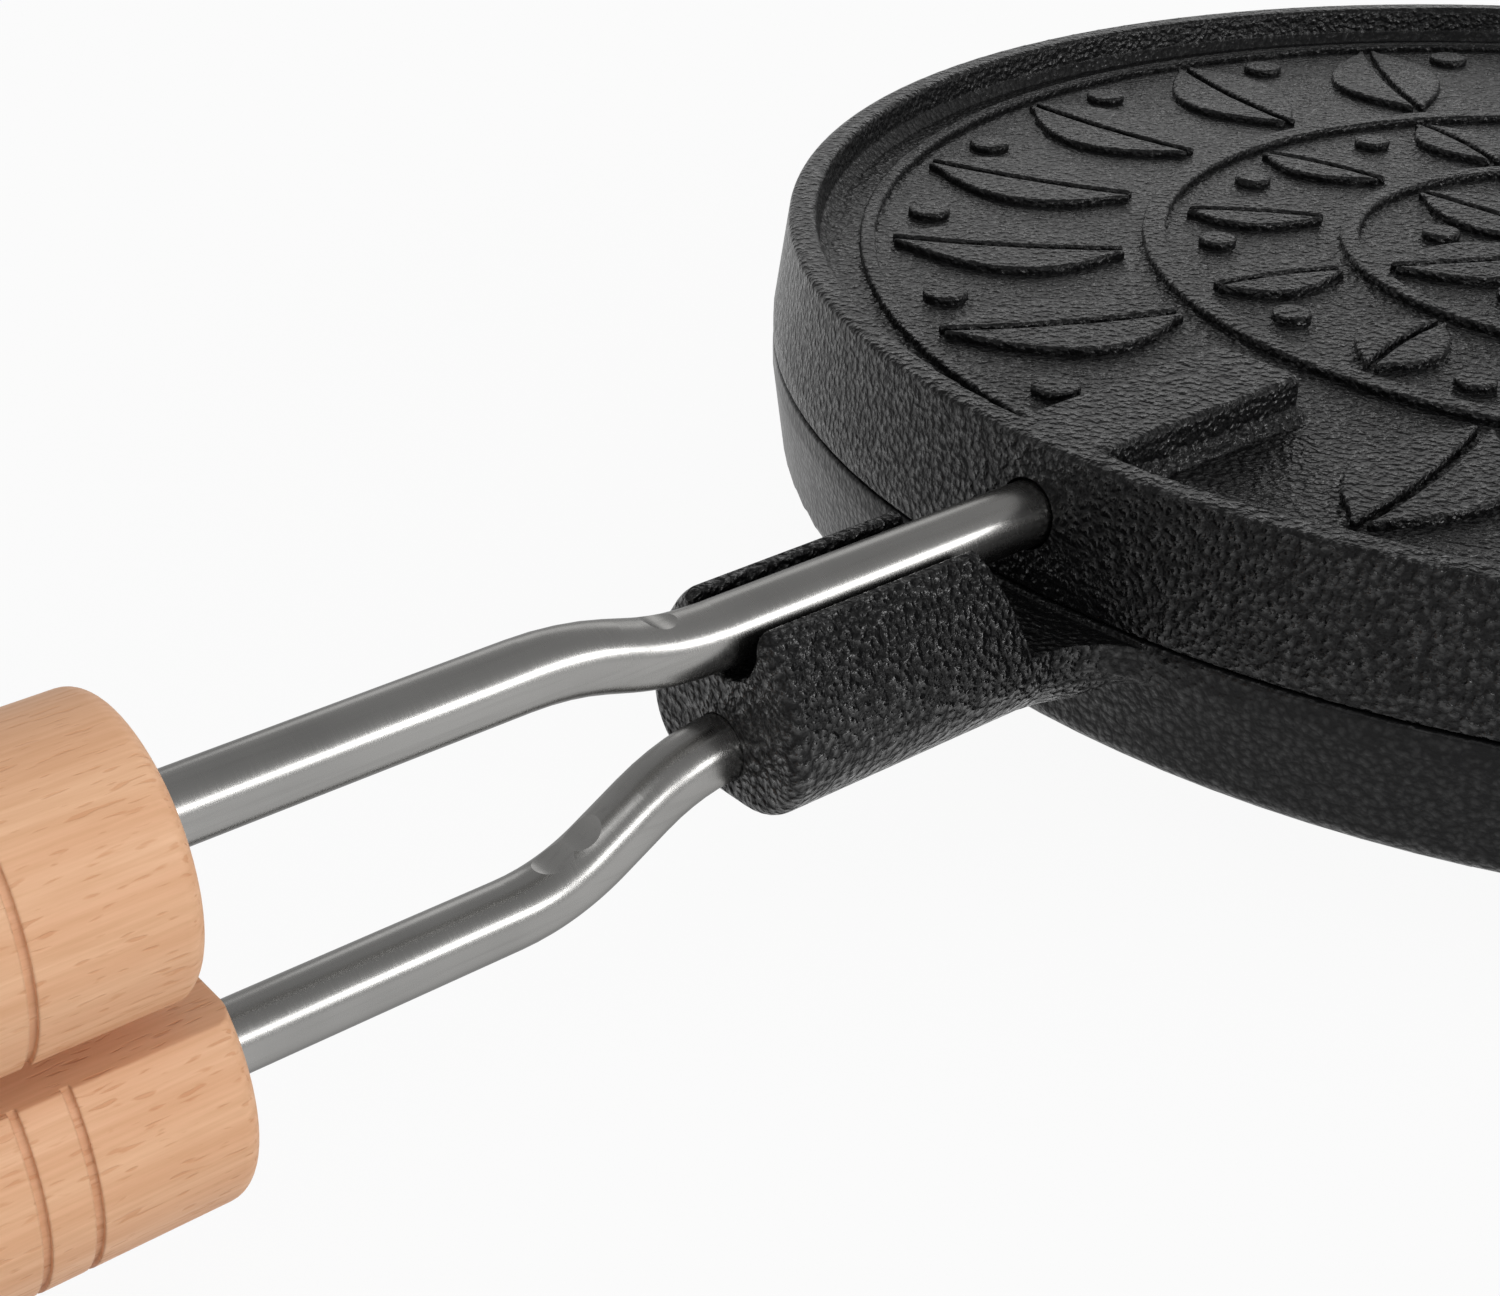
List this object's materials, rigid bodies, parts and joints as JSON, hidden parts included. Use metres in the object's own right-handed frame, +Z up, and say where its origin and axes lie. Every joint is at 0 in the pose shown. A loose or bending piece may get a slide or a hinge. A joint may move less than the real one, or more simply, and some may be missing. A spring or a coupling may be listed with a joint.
{
  "type": "campfire waffle iron",
  "caption": "Hinged pair of round cast iron plates with a waffle mould inside and long bent steel rods that end in wooden grips, closed by a wire loop.",
  "frame": {"origin": "under the middle of the iron, at the height of its lowest point, on the vertical plane through the rods", "axes": "+X from the grips to the plates' hinge, +Y to the left seen from the grips, +Z up, square to the plates"},
  "size_m": [0.4884, 0.214, 0.0543],
  "materials": {
    "cast_iron": "matte, pebbled",
    "rod_steel": "satin",
    "fastener_steel": "satin",
    "beech": "smooth, oiled"
  },
  "bodies": {
    "lower_half": {"lower_plate": "cast_iron", "lower_mould": "cast_iron", "lower_rod": "rod_steel", "lower_lock_pin": "fastener_steel", "lower_grip": "beech", "lower_washer": "fastener_steel", "lower_spring_washer": "fastener_steel", "lower_barrel_nut": "fastener_steel", "hinge_pin": "fastener_steel", "hinge_washer": "fastener_steel", "hinge_split_pin": "fastener_steel"},
    "upper_half": {"upper_plate": "cast_iron", "upper_mould": "cast_iron", "upper_rod": "rod_steel", "upper_lock_pin": "fastener_steel", "upper_grip": "beech", "upper_washer": "fastener_steel", "upper_spring_washer": "fastener_steel", "upper_cap_nut": "fastener_steel"},
    "loop": {"closing_loop": "rod_steel"}
  },
  "joints": [
    {"name": "plate_hinge", "type": "hinge", "parent": "lower_half", "child": "upper_half", "pos_m": [0.23719, 0, 0.03006], "axis": [0, 1, 0], "range_deg": [0, 180]},
    {"name": "loop_swing", "type": "hinge", "parent": "lower_half", "child": "loop", "pos_m": [-0.21416, 0, 0.01666], "axis": [0, 1, 0], "range_deg": [0, 118]}
  ]
}
